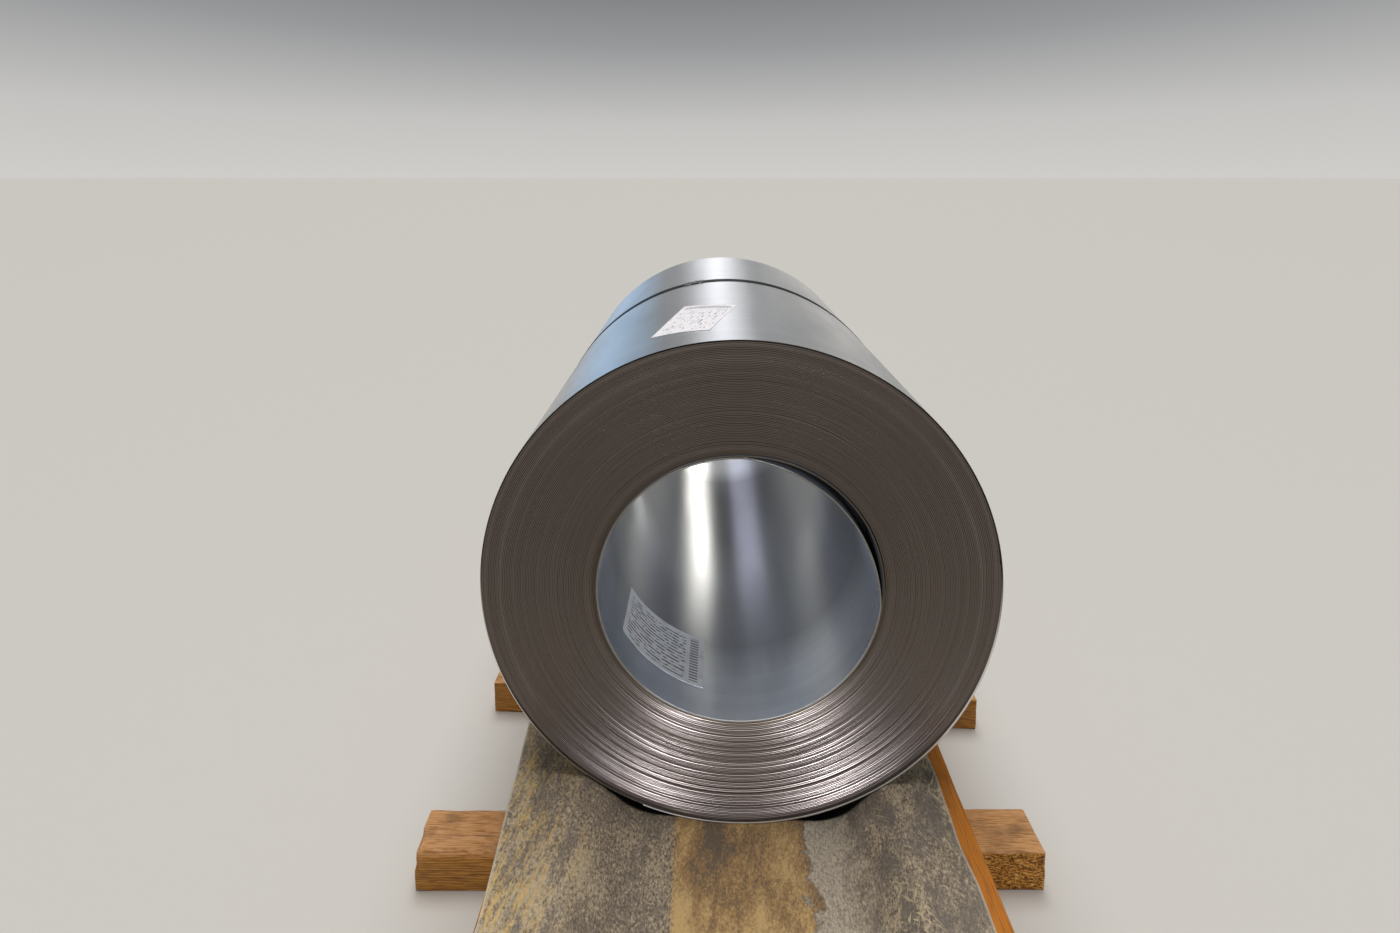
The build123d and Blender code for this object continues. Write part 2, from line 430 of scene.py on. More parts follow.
def zinc_coated_strip():
    """Zinc-coated cold-rolled strip: a satin grey metal. The rolls leave fine lines round the
    coil, which draw its highlights out along the axis, and handling leaves faint wipes."""
    material, tree = new_material("zinc_coated_strip")
    place = add_node(tree, "TexCoord").outputs["Object"]
    # Roll lines are about 0.5 mm apart, and are drawn at 9 mm so that they show
    lines = stretched_noise(tree, place, (600, 9, 600), 0.0)
    wipes = stretched_noise(tree, place, (90, 240, 90), 3.0, 0.6)
    specks = add_node(tree, "TexVoronoi", place, Scale=1 / (45 * MM))
    # Inside the bore the strip is painted darker, most of all away from its ends, as painted shade in the
    # bore
    radius = from_axis(tree, place)[0]
    y = add_node(tree, "SeparateXYZ", place).outputs["Y"]
    off_middle = add_node(tree, "Math", y, operation="ABSOLUTE")
    bore_shade_place = (radius, bore_radius + 2 * MM, bore_radius + 1 * MM)
    tone = lay_coats(
        tree, set_bands(add_node(tree, "ValToRGB", lines), (0.3, "#C6C9CC"), (0.7, "#CDD0D2")),
        ("#B4B8BC", (wipes, 0.5, 0.75, 0.0, 0.35)),
        ("#909294", bore_shade_place, (off_middle, 420 * MM, 330 * MM, 0.1, 1.0)),
        ("#5A5C5E", (specks, 0.03, 0.018)),
    )
    return give_surface(material, {
        "Base Color": tone,
        "Metallic": 1.0,
        "Roughness": add_node(tree, "MapRange", wipes, 0.3, 0.7, 0.285, 0.34),
        "Anisotropic": 0.6,
        "Anisotropic Rotation": 0.25,
        "Tangent": add_node(tree, "Tangent", direction_type="RADIAL", axis="Y"),
        "Normal": relief(tree, (lines, 0.012 * MM)),
    })


def slit_steel_edge():
    """The strip's bare edges, cut by slitting knives: brown-grey, burnished in short streaks, so
    that the ends read as fine rings that sparkle where they catch a light."""
    material, tree = new_material("slit_steel_edge")
    place = add_node(tree, "TexCoord").outputs["Object"]
    height = add_node(tree, "SeparateXYZ", place).outputs["Z"]
    radius, unrolled = from_axis(tree, place)
    # Round the bore the innermost edges are pale, and the recessed turns behind them are painted darker, as
    # painted shade
    ramp = add_node(tree, "ValToRGB", add_node(tree, "MapRange", radius, bore_radius, outer_radius))
    tone = set_bands(
        ramp, (0.0, "#7C7970"), (0.012, "#7C7970"), (0.018, "#483F33"), (0.05, "#51483D"),
        (0.075, "#574E46"), (0.79, "#574E46"), (0.825, "#625951"), (0.86, "#574E46"), (1.0, "#5A5048"),
    )
    # The last turn's edge is painted dark above the axis, as painted shade, and pale below it, partly its
    # coating and partly a painted highlight
    last_edge_shade_and_coating = lay_coats(tree, "#1B1917", ("#E2E3E2", (height, axis_z + 50 * MM, axis_z - 100 * MM)))
    # Burnished streaks are 0.2 mm wide, and are drawn at 2.2 mm so that they show
    streaks = stretched_noise(tree, unrolled, (260, 2.2, 80), 2.0, 0.6)
    tone = lay_coats(
        tree, tone,
        (last_edge_shade_and_coating, (radius, outer_radius - 4.6 * MM, outer_radius - 4.2 * MM)),
        ("#8C8680", (streaks, 0.35, 0.7, 0.0, 0.16)),
    )
    return give_surface(material, {
        "Base Color": tone,
        "Metallic": 1.0,
        "Roughness": add_node(tree, "MapRange", streaks, 0.35, 0.65, 0.4, 0.28),
        "Normal": relief(tree, (streaks, 0.05 * MM)),
    })


def oily_strip():
    """The strip's skin deep between the loose turns, painted near black as shade, since the narrow gap gets
    little light.
    """
    material = new_material("oily_strip")[0]
    return give_surface(material, {"Base Color": "#0A0A0B", "Roughness": 0.7})


def rubbed_metal(name, cell, detail, bands, metallic, roughness):
    """A dull metal with rubbed spots, whose colour and roughness follow a noise."""
    material, tree = new_material(name)
    place = add_node(tree, "TexCoord").outputs["Object"]
    rubs = stretched_noise(tree, place, cell, detail, 0.6)
    return give_surface(material, {
        "Base Color": set_bands(add_node(tree, "ValToRGB", rubs), *bands),
        "Metallic": metallic,
        "Roughness": add_node(tree, "MapRange", rubs, *roughness),
    })


def ruled_label_paper(name, paper, ink, bare_up_to):
    """Coated label paper: matt and near white, with the grey ruling of an empty form and a ladder
    of bars at one end. The ruling is left bare where a noise is below the last value."""
    material, tree = new_material(name)
    flat = add_node(tree, "UVMap", uv_map="label").outputs["UV"]
    x, y = add_node(tree, "SeparateXYZ", flat).outputs[:2]
    middle = label_height / 2
    in_height = add_node(tree, "Math", y, middle, middle - label_margin, operation="COMPARE")
    # Rules are 0.5 mm thick in print, and are drawn at 2.6 mm so that they show. Each set of them
    # is where it starts and ends, how far apart its rules are, and how much of that is ink.
    marks = []
    for start, end, pitch, inked in (
        (12 * MM, label_length - 40 * MM, 7.5 * MM, 0.35),
        (label_length - 30 * MM, label_length - 12 * MM, 6.5 * MM, 0.6),
    ):
        middle, half = (start + end) / 2, (end - start) / 2
        in_length = add_node(tree, "Math", x, middle, half, operation="COMPARE")
        rows = add_node(tree, "Math", y, pitch, operation="DIVIDE")
        rows = add_node(tree, "Math", rows, operation="FRACT")
        rows = add_node(tree, "Math", rows, inked, operation="LESS_THAN")
        marks.append(overlap(tree, rows, in_length, in_height))
    rules, ladder = marks
    fields = stretched_noise(tree, flat, (14, 7, 1000), 2.0, 0.7)
    rules = overlap(tree, rules, (fields, bare_up_to, bare_up_to + 0.06))
    printed = add_node(tree, "Math", rules, overlap(tree, ladder, 0.7), operation="MAXIMUM")
    scuffs = add_node(tree, "TexNoise", flat, Scale=1 / (30 * MM), Detail=4.0)
    tone = lay_coats(tree, paper, (ink, printed), (ink, (scuffs, 0.5, 0.75, 0.0, 0.3)))
    return give_surface(material, {"Base Color": tone, "Roughness": 0.55})


def worn_belt_rubber():
    """Old conveyor belt: grey rubber, dull and scuffed, with ochre and pale dust trodden into it
    in patches. The dust lies in grains, short strokes and straw-coloured fibres."""
    material, tree = new_material("worn_belt_rubber")
    place = add_node(tree, "TexCoord").outputs["Object"]
    across, along = add_node(tree, "SeparateXYZ", place).outputs[:2]
    off_middle, off_centre = [add_node(tree, "Math", way, operation="ABSOLUTE") for way in (across, along)]
    edge = add_node(tree, "NewGeometry").outputs["Pointiness"]

    # Dust grains are under 1 mm, and are drawn at 3.5 mm so that they show
    grit = stretched_noise(tree, place, (3.5, 5, 4), 4.0, 0.8)
    mottle = stretched_noise(tree, place, (34, 70, 40), 5.0, 0.7, (0, 0, 12))
    cloud = stretched_noise(tree, place, (130, 200, 130))
    strokes = stretched_noise(tree, place, (6, 42, 40), 4.0, 0.75, (0, 0, 14))
    ragged = stretched_noise(tree, place, (34, 30, 34), 4.0, 0.6)
    tracks = stretched_noise(tree, place, (4, 160, 60), 3.0, 0.6, (0, 0, 8))
    fibres = [stretched_noise(tree, place, (3, 20, 20), 1.0, 0.5, (0, 0, turn)) for turn in (30, -50)]
    fibres = add_node(tree, "Math", *fibres, operation="MAXIMUM")
    dust = add_up(tree, (mottle, 0.8), (cloud, 0.6), (grit, 0.7))
    rubber = set_bands(
        add_node(tree, "ValToRGB", grit),
        (0.36, "#51483E"), (0.46, "#887A69"), (0.55, "#A39480"), (0.64, "#DACAAC"),
    )

    # The ochre patch has a straight side on the left and a torn one on the right. A dark line runs
    # along the torn side, and a pale scraped strip beside it.
    rough_line = add_node(tree, "MapRange", grit, 0.3, 0.7, -7 * MM, 7 * MM)
    torn_line = add_node(tree, "MapRange", ragged, 0.3, 0.7, -24 * MM, 24 * MM)
    straight_side = add_up(tree, (across, 1), (rough_line, 1))
    torn_side = add_up(tree, (across, 1), (torn_line, 1))
    patch = overlap(tree, (straight_side, -118 * MM, -108 * MM), (torn_side, 127 * MM, 124 * MM))
    past_patch = (torn_side, 124 * MM, 127 * MM)
    by_side = add_node(tree, "MapRange", straight_side, -60 * MM, -110 * MM)
    by_end = add_node(tree, "MapRange", along, -640 * MM, -520 * MM)
    stain = add_up(tree, (dust, 1), (by_side, 0.16), (by_end, -0.1))
    ochre = set_bands(
        add_node(tree, "ValToRGB", stain), (0.84, "#6E5F4E"), (0.93, "#8A6F4E"), (1.0, "#A98450"),
    )
    pale = set_bands(
        add_node(tree, "ValToRGB", grit), (0.36, "#8F8576"), (0.46, "#BBAF9D"), (0.62, "#D9CDB6"),
    )
    straw = [(cloud, 0.42, 0.56, 0.1, 1.0), (across, 100 * MM, 220 * MM, 0.12, 0.9)]

    # The last coat is painted shade: the rubber under the coil is painted near black
    tone = lay_coats(
        tree, rubber,
        ("#6A6159", (mottle, 0.52, 0.38, 0.0, 0.5)),
        ("#CFBD9C", (dust, 1.04, 1.2, 0.0, 0.6)),
        ("#DDB870", (strokes, 0.48, 0.6), (across, -240 * MM, -360 * MM), (dust, 0.94, 1.1, 0.1, 0.9)),
        (ochre, patch, 0.85),
        ("#DDBB80", patch, (stain, 1.02, 1.2, 0.0, 0.9)),
        (pale, past_patch, (torn_side, 230 * MM, 165 * MM), 0.85),
        ("#4A4238", past_patch, (torn_side, 132 * MM, 127 * MM), 0.6),
        ("#6E675F", (torn_side, 150 * MM, 230 * MM), (mottle, 0.56, 0.42, 0.0, 0.5)),
        ("#D9C89F", (fibres, 0.62, 0.67), *straw),
        # Its cut edges are painted pale, as a painted highlight
        ("#DAD3C4", (edge, 0.55, 0.6, 0.0, 0.8)),
        ("#0E0D0C", (off_middle, 285 * MM, 270 * MM), (off_centre, 501 * MM, 497 * MM)),
    )
    return give_surface(material, {
        "Base Color": tone,
        "Roughness": add_node(tree, "MapRange", mottle, 0.3, 0.7, 0.58, 0.78),
        "Normal": relief(tree, (mottle, 1.5 * MM), (tracks, 0.3 * MM), (grit, 1.0 * MM)),
    })


def sawn_softwood(name, along_x, upward_light_tone, torn_from=None):
    """Rough-sawn softwood: orange-brown with close growth rings and fine grain. Its upper sides are
    painted in another tone, as painted light from above, and its arrises are paler, partly rubbed and
    partly painted highlight. From torn_from on, along X, the saw has torn up golden fibres."""
    material, tree = new_material(name)
    coordinates = add_node(tree, "TexCoord").outputs
    turn = 0 if along_x else radians(-90)
    place = add_node(tree, "Mapping", coordinates["Object"], Rotation=(0, 0, turn))
    x, y, z = add_node(tree, "SeparateXYZ", place).outputs
    up = add_node(tree, "SeparateXYZ", coordinates["Normal"]).outputs["Z"]
    edge = add_node(tree, "NewGeometry").outputs["Pointiness"]

    # Growth rings are 6 mm apart, and lean in the section
    bend = stretched_noise(tree, place, (400, 30, 30))
    rings = add_up(tree, (y, 0.55 / (6 * MM)), (z, 1 / (6 * MM)), (bend, 7.0))
    grain = set_bands(
        add_node(tree, "ValToRGB", add_node(tree, "Math", rings, operation="FRACT")),
        (0.0, "#D59A4A"), (0.5, "#CB8C38"), (0.85, "#A46A24"), (1.0, "#D09440"),
    )
    fibres = stretched_noise(tree, place, (40, 1.8, 1.8), 3.0, 0.6)
    dirt = stretched_noise(tree, place, (90, 40, 40), 4.0, 0.6)
    tone = lay_coats(
        tree, grain,
        ("#653B16", (fibres, 0.47, 0.62, 0.0, 0.6)),
        # Upward faces take the given tone, painted as the light on their tops
        (upward_light_tone, (up, 0.3, 0.8), (fibres, 0.62, 0.42, 0.2, 0.9)),
        ("#5E4228", (dirt, 0.48, 0.66, 0.0, 0.6)),
        # Arrises are painted paler, partly rubbed wear and partly a painted highlight
        ("#DDB27A", (edge, 0.52, 0.58), (fibres, 0.62, 0.45, 0.3, 0.9)),
    )
    layers = [(dirt, 0.8 * MM), (fibres, 0.9 * MM)]
    if torn_from:
        torn_here = overlap(tree, (x, torn_from, torn_from + 20 * MM), (up, 0.6, 0.3))
        lying = stretched_noise(tree, place, (11, 2.4, 2.4), 2.0, 0.65)
        curled = stretched_noise(tree, place, (2.8, 3, 9), 2.0, 0.65, (0, 25, 0))
        curled = add_node(tree, "Math", curled, 0.04, operation="SUBTRACT")
        torn = add_node(tree, "Math", lying, curled, operation="MAXIMUM")
        gold = set_bands(
            add_node(tree, "ValToRGB", torn),
            (0.42, "#4A2406"), (0.5, "#B06A14"), (0.58, "#E8A030"), (0.68, "#FFD98A"),
        )
        tone = lay_coats(tree, tone, (gold, torn_here))
        layers.append((overlap(tree, torn, torn_here), 4 * MM))
    normal = relief(tree, *layers)
    return give_surface(material, {"Base Color": tone, "Roughness": 0.82, "Normal": normal})


def outline_radius(angle_from_tail):
    """The coil's outline, which falls by one strip thickness in a turn from the free end."""
    swing = np.cos(np.radians(angle_from_tail))
    first_half = outer_radius - spiral_shift * (1 - swing)
    second_half = outer_radius - spiral_shift * (3 + swing)
    return np.where(angle_from_tail <= 180, first_half, second_half)


def strip_radius(angle_along):
    """The outside of the outermost strip, any angle along it from its free end."""
    turns = np.floor_divide(angle_along, 360)
    return outline_radius(angle_along - 360 * turns) - turns * strip_thickness


def off_loose_middle(angle, spread):
    """How far an angle is from the middle of the loose turns' gap, as a share of half a spread."""
    middle = loose_gap_start + loose_gap_spread / 2
    return np.abs((np.asarray(angle, float) - middle + 180) % 360 - 180) / (spread / 2)


def loose_gap(angle):
    """How far the next turn stands off the innermost one, and how much of it is that turn's sag."""
    share = np.clip(1 - off_loose_middle(angle, loose_gap_spread) ** 2, 0, None)
    return loose_gap_width * share, loose_turn_sag * share


def loose_slit(angle):
    """The slit behind the second turn."""
    off_middle = off_loose_middle(angle, loose_slit_spread)
    return loose_slit_width * (1 - smoothstep(off_middle, loose_slit_ease, 1))


def outer_gap(angle_along):
    """The width of the spiral gap under the outermost strip."""
    return outer_gap_width * plateau(angle_along, *outer_gap_ends)


def turn_depths(groups, seed):
    """How deep each turn's edge lies, with a little scatter and here and there a groove."""
    chance = np.random.default_rng(seed)
    turns, depths = np.array(groups).T
    depths = np.repeat(depths * MM, turns.astype(int))
    eased = np.convolve(np.pad(depths, 1, mode="edge"), neighbour_weights, mode="valid")
    grooves = groove_depth * (chance.random(len(depths)) < groove_share)
    scatter = chance.normal(0, turn_scatter, len(depths))
    return np.clip(eased + scatter + grooves, shallowest_edge, None)


def edge_wave(angle, starts):
    """How a turn's edge wanders as it goes round, from the angles at which its waves start."""
    return sum(
        depth * np.cos(np.radians(waves * angle + start))
        for (depth, waves), start in zip(edge_waves, starts)
    )


def body_of_turns():
    """The turns between the loose ones at the bore and the outermost strip."""
    turn_count = sum(turns for turns, depth in near_groups)
    from_tail = np.arange(columns_round) * 360 / columns_round
    angle = tail_angle + from_tail

    # Each turn's radius comes from an even spread, the loose turns inside and the strip outside
    off_end = from_tail - (outer_strip_spread - 360)
    second_layer = 1 - smoothstep(off_end, -outer_strip_end_ease, outer_strip_end_ease)
    under_strip = outline_radius(from_tail) - strip_thickness * (1 + second_layer)
    gap_width, sag = loose_gap(angle)
    opening = gap_width - sag + loose_slit(angle)
    first = bore_radius + 2 * strip_thickness
    last = outer_radius - 2 * strip_thickness
    order = np.arange(turn_count + 1)[:, None]
    squeeze = 1 - smoothstep(order, 0, loose_turns_squeezed)
    follow = smoothstep(order, turn_count - outer_turns_following, turn_count)
    nominal = first + (last - first) * order / turn_count
    inside = nominal + opening * squeeze + (under_strip - last) * follow
    below_gap = inside[-1] - np.maximum(outer_gap(from_tail), outer_gap(from_tail + 360))
    outside = [*inside[1:-1], below_gap]

    chance = np.random.default_rng(seed=7)
    wander = chance.uniform(0, 360, (2, turn_count))
    section = []
    near_turns = zip(inside, outside, turn_depths(near_groups, seed=3), wander.T)
    for inner, outer, depth, starts in near_turns:
        face = near_y + np.clip(depth + edge_wave(angle, starts), least_edge_depth, None)
        fall = edge_rollover + chance.normal(0, edge_rollover_scatter)
        section += [
            (inner, face + fall),
            (inner + rollover_width_share * (outer - inner), face + rollover_depth_share * fall),
            (outer - turn_play, face),
        ]
    section += [
        (below_gap, near_y + outer_gap_depth),
        (inside[-1], near_y + outer_gap_depth),
        (inside[-1], far_y - outer_gap_depth),
        (below_gap, far_y - outer_gap_depth),
    ]
    far_turns = zip(inside, outside, turn_depths(far_groups, seed=5), wander[::-1].T)
    for inner, outer, depth, starts in reversed([*far_turns]):
        face = far_y - np.clip(depth + edge_wave(angle, starts), least_edge_depth, None)
        section += [(outer - turn_play, face), (inner, face - edge_rollover)]
    return carried_round(section, angle)


def wound_strip(angle, inner, outer, closed=True, set_back=0, gap=0):
    """One layer of strip along the given angles, between two radii, with rounded edges. Deep
    inside the coil it closes the gap that the next layer leaves at the ends."""
    rounding = strip_rounding_share * (outer - inner)
    near = near_y + set_back
    section = [
        (inner, near + 2 * strip_lip),
        (inner + rounding, near + strip_rounding_share * strip_lip),
        (outer - rounding / 3, near),
        (outer, near + strip_lip),
        (outer, near + loose_gap_depth),
        (outer + gap, near + loose_gap_depth + loose_gap_width),
        (outer + gap, far_y - loose_gap_depth - loose_gap_width),
        (outer, far_y - loose_gap_depth),
        (outer, far_y - strip_lip),
        (outer - rounding, far_y),
        (inner + rounding, far_y),
        (inner, far_y - strip_lip),
    ]
    return carried_round(section, angle, closed)


def wound_piece(name, parts, materials):
    """Turns of the winding. Materials are the strip's skin, its edges and a near-black painted shade
    for the walls of the gap between the loose turns."""
    mesh = make_mesh(name, parts, sharp_angle=20)
    piece = dress(name, mesh, "coil_winding", "strip_steel", *materials)
    centres = np.zeros(len(mesh.polygons) * 3)
    mesh.polygons.foreach_get("center", centres)
    x, y, z = centres.reshape(-1, 3).T
    from_end = np.minimum(y - near_y, far_y - y)
    radius = np.hypot(x, z - axis_z)
    around = np.degrees(np.arctan2(z - axis_z, x))
    gap_width, sag = loose_gap(around)
    first_outside = bore_radius - sag + strip_thickness
    body_inside = bore_radius - sag + gap_width + 2 * strip_thickness + loose_slit(around)
    between = (radius > first_outside - face_reach) & (radius < body_inside + face_reach)
    in_gap = between & (from_end > edge_reach)
    at_ends = from_end < outer_gap_depth
    # Faces in the loose turns' gap take the third material, the near-black painted shade
    mesh.polygons.foreach_set("material_index", np.where(in_gap, 2, at_ends).astype(np.int32))
    return piece


def coil_winding(*materials):
    """The wound strip: the outermost strip with its free end, the body, and two loose turns."""
    along = np.arange(0, outer_strip_spread + outer_strip_step, outer_strip_step)
    lifted = tail_lift * (1 - smoothstep(along, 0, tail_lift_spread))
    outer = strip_radius(along)
    inner = outer - (strip_thickness - outer_strip_play - lifted)
    outermost = wound_strip(tail_angle + along, inner, outer, closed=False)

    angle = np.arange(columns_round) * 360 / columns_round
    gap_width, sag = loose_gap(angle)
    inner = bore_radius - sag
    first = wound_strip(angle, inner, inner + strip_thickness, gap=gap_width)
    inner = inner + strip_thickness + gap_width + loose_turn_play
    outer = inner + strip_thickness - 2 * loose_turn_play
    second = wound_strip(angle, inner, outer, set_back=loose_turn_set_back, gap=loose_slit(angle))

    outer_strip = wound_piece("outermost_strip", [outermost], materials)
    body = wound_piece("wound_body", [body_of_turns()], materials)
    return outer_strip, body, wound_piece("loose_turns", [first, second], materials)


def strap_band(strap_steel):
    """The strap, pulled tight round the coil and bridging the step at the strip's end."""
    from_tail = np.arange(360)
    bridging = smoothstep(from_tail, strap_bridge_start, 360)
    bridge = outer_radius - strip_thickness * (1 - bridging)
    seat = np.maximum(outline_radius(from_tail) + strap_seating, bridge)
    top = seat + strap_thickness
    near = near_y + strap_from_near - strap_width / 2
    far = near + strap_width
    section = [
        (seat, near + strap_lip),
        (top - strap_lip, near),
        (top, near + strap_lip),
        (top, far - strap_lip),
        (top - strap_lip, far),
        (seat, far - strap_lip),
    ]
    mesh = make_mesh("strap", [carried_round(section, tail_angle + from_tail)])
    return dress("strap_band", mesh, "strap", "strapping_steel", strap_steel)


def label_sheet(name, node, paper, middle_angle, from_near, turn, inside, along_axis):
    """A label on the coil's skin: a thin sheet that follows the curve, with its corners a little
    raised. Along and across are the label's own directions."""
    half_length, half_height = label_length / 2, label_height / 2
    across = np.linspace(-half_height, half_height, label_rows)
    along = np.linspace(-half_length, half_length, label_columns)
    across, along = np.meshgrid(across, along, indexing="ij")
    axial, around = (along, across) if along_axis else (across, along)
    y = near_y + from_near + axial * cos(radians(turn)) + around * sin(radians(turn))
    arc = around * cos(radians(turn)) - axial * sin(radians(turn))
    radius = bore_radius if inside else outer_radius - 2 * spiral_shift
    angle = middle_angle + np.degrees(arc / radius)
    corner = np.abs(along / half_length * across / half_height) ** label_corner_sharpness
    lift = label_seating + label_corner_lift * corner
    skin = radius if inside else outline_radius((angle - tail_angle) % 360)
    side = -1 if inside else 1
    under = round_the_coil(skin + side * lift, angle, y)
    top = round_the_coil(skin + side * (lift + label_thickness), angle, y)
    mesh = make_mesh(name, [sheet(under, top)])

    chart = mesh.uv_layers.new(name="label")
    corners = np.zeros(len(mesh.loops), np.int32)
    mesh.loops.foreach_get("vertex_index", corners)
    flat = np.stack([along + half_length, across + half_height], axis=-1).reshape(-1, 2)
    chart.data.foreach_set("uv", np.concatenate([flat, flat])[corners].ravel())
    return dress(name, mesh, node, "label_paper", paper)


def tangent_crossing(first_angle, first_distance, second_angle, second_distance):
    """Where two lines cross. A line is given by its distance below the coil's axis, square to
    it, and by how far that direction leans from straight down, in degrees towards +X."""
    leans = radians(first_angle), radians(second_angle)
    downwards = [(sin(lean), -cos(lean)) for lean in leans]
    x, z = np.linalg.solve(downwards, (first_distance, second_distance))
    return x, z + axis_z


def rounded_line(corners, radii, steps=40):
    """A line through corners that are rounded off, as points in the XZ plane."""
    corners = np.array(corners)
    runs = [corners[:1]]
    for before, corner, after, radius in zip(corners, corners[1:], corners[2:], radii):
        back = (before - corner) / np.linalg.norm(before - corner)
        ahead = (after - corner) / np.linalg.norm(after - corner)
        inward = (back + ahead) / np.linalg.norm(back + ahead)
        half_turn = np.arcsin(np.linalg.norm(back + ahead) / 2)
        centre = corner + inward * radius / np.cos(half_turn)
        swing = np.linspace(-half_turn, half_turn, steps)[:, None]
        side = np.array([-inward[1], inward[0]])
        side = side if side @ ahead > 0 else -side
        runs.append(centre + radius * (-inward * np.cos(swing) + side * np.sin(swing)))
    runs.append(corners[-1:])
    return np.concatenate(runs)


def mat_line():
    """The mat's upper side across the coil: flat on the rails, bent over their arrises, straight
    from there to the coil, and round under it."""
    distance = outer_radius + mat_seating
    on_rails = axis_z - rail_top - mat_thickness
    bend_x, bend_z = tangent_crossing(contact_angle, distance, 0, on_rails)
    belly_x, belly_z = tangent_crossing(contact_angle, distance, mat_contact_half_angle, distance)
    bottom = tangent_crossing(mat_contact_half_angle, distance, -mat_contact_half_angle, distance)
    left = [(-mat_left_reach, bend_z), (-bend_x, bend_z), (-belly_x, belly_z)]
    right = [(belly_x, belly_z), (bend_x, bend_z), (mat_right_reach, bend_z)]
    bend = rail_inner_arris + mat_thickness
    radii = [bend, mat_belly_radius, distance, mat_belly_radius, bend]
    return rounded_line([*left, bottom, *right], radii)


def belt_mat(rubber):
    """The rubber belt, draped over the rails and pressed down by the coil and its strap. Where
    nothing holds it, it is a little wavy, and its cut edges are nicked."""
    line = mat_line()
    so_far = np.concatenate([[0], np.cumsum(np.linalg.norm(np.diff(line, axis=0), axis=1))])
    whole = so_far[-1]
    strap_y = near_y + strap_from_near
    y_lines = np.arange(-mat_length / 2, mat_length / 2 + mat_step / 2, mat_step)
    y_lines = np.sort(np.concatenate([y_lines, strap_y + mat_lines_by_strap]))
    share = np.linspace(0, 1, round(whole / mat_step) + 1)
    share, y = np.meshgrid(share, y_lines, indexing="ij")

    # Distance along the line, from the nicked and slanting left edge to the right one
    beside = np.stack([y, 0 * y], axis=-1)
    left = mat_nick * lumps(beside, mat_nick_cells, seed=11)
    left = left + mat_left_offset - mat_left_slant * plateau(y, *mat_left_slanting)
    right = whole + mat_nick * (lumps(beside, mat_nick_cells, seed=12) - 1)
    right = right - mat_right_slant * smoothstep(y, *mat_right_slanting)
    along = left + (right - left) * share
    at_end = np.stack([along, np.sign(y)], axis=-1)
    end_nick = mat_nick * (1 + lumps(at_end, mat_nick_cells, seed=13)) / 2
    y = y * (1 - end_nick / (mat_length / 2))

    line_x, line_z = line.T
    x = np.interp(along, so_far, line_x) + np.minimum(along, 0)
    z = np.interp(along, so_far, line_z)
    slope_x, slope_z = [np.interp(along, so_far, slope) for slope in np.gradient(line, so_far, axis=0).T]
    upwards = np.stack([-slope_z, 0 * y, slope_x], axis=-1)
    upwards = upwards / np.linalg.norm(upwards, axis=-1, keepdims=True)

    place = np.stack([x, y], axis=-1)
    off_middle, past_end = np.abs(x), np.abs(y) + near_y
    off_coil = np.maximum(smoothstep(off_middle, *mat_leaves_coil), smoothstep(past_end, 0, mat_waves_from))
    off_rails = 1 - smoothstep(off_middle, *mat_meets_rail)
    wave = mat_wave * lumps(place, mat_wave_cells, seed=14) * off_rails * off_coil
    by_strap = 1 - smoothstep(np.abs(y - strap_y), *mat_dip_along)
    dip = mat_strap_dip * by_strap * (1 - smoothstep(off_middle, *mat_dip_across))
    sag = np.where(x < 0, mat_sag_left, mat_sag_right) * plateau(off_middle, *mat_sagging)
    shift = wave - dip - sag
    dents = mat_dent * lumps(place, mat_dent_cells, seed=15) * smoothstep(past_end, 0, mat_dents_from)
    middle = np.stack([x, y, z], axis=-1)
    top = middle + upwards * (shift + np.minimum(dents, 0))[..., None]
    under = middle + upwards * (shift - mat_thickness)[..., None]
    mesh = make_mesh("belt_mat", [sheet(under, top)], sharp_angle=45)
    return dress("draped_belt", mesh, "belt_mat", "belt_rubber", rubber)


def timber_lines(reach, step):
    """Places of the lines across a timber, which reaches that far from its middle."""
    middle = reach - arris_lines[-1]
    between = np.linspace(-middle, middle, round(2 * middle / step) + 1)[1:-1]
    return np.concatenate([arris_lines - reach, between, reach - arris_lines[::-1]])


def worn_face(face, half, arrises, seed, crushed):
    """Points of a timber's face, moved in to where wear and the saw have left them. The arrises'
    radii are for the left side, low and high, and for the right side."""
    along = face[..., 0]
    right = (face[..., 1] > 0).astype(int)
    high = (face[..., 2] > 0).astype(int)
    arris = right + 2.0 * high
    wear = lumps(np.stack([along, arris], axis=-1), wear_cells, seed)
    chips = lumps(np.stack([along, arris + chip_offset], axis=-1), chip_cells, seed)
    radius = np.array(arrises)[right, high] * (1 + arris_unevenness * wear)
    radius = radius + chip_depth * np.clip(chips - chip_rarity, 0, None)
    crush = crushed * (1 - right) * high * smoothstep(-along, *crushed_from)
    radius = radius + crush * (1 + crush_unevenness * lumps(face, crush_cells, seed + 1))
    reach = half - radius[..., None]
    core = np.clip(face, -reach, reach)
    outwards = (face - core) / np.linalg.norm(face - core, axis=-1, keepdims=True)
    marks = sum(
        depth * (1 + lumps(face, cells, mark_seed)) / 2
        for mark_seed, (depth, cells) in enumerate(timber_marks, seed + 2)
    )
    return core + outwards * (radius - marks)[..., None]


def timber_mesh(name, length, section, arrises, ways, centre, seed, crushed=0):
    """A sawn timber, worn and marked inside its nominal size. Ways are the directions of its
    length and its width, and crushed is how deep its left upper arris is crushed at one end."""
    half = np.array([length, section, section]) / 2
    lines = [timber_lines(reach, step) for reach, step in zip(half, timber_steps)]
    turned = np.array([*ways, (0, 0, 1)])
    parts = []
    for axis in range(3):
        for side in (-1, 1):
            places = list(lines)
            places[axis] = [side * half[axis]]
            face = np.stack(np.meshgrid(*places, indexing="ij"), axis=-1).squeeze(axis)
            parts.append(grid(worn_face(face, half, arrises, seed, crushed) @ turned + centre))
    return make_mesh(name, parts, sharp_angle=50, weld=True)


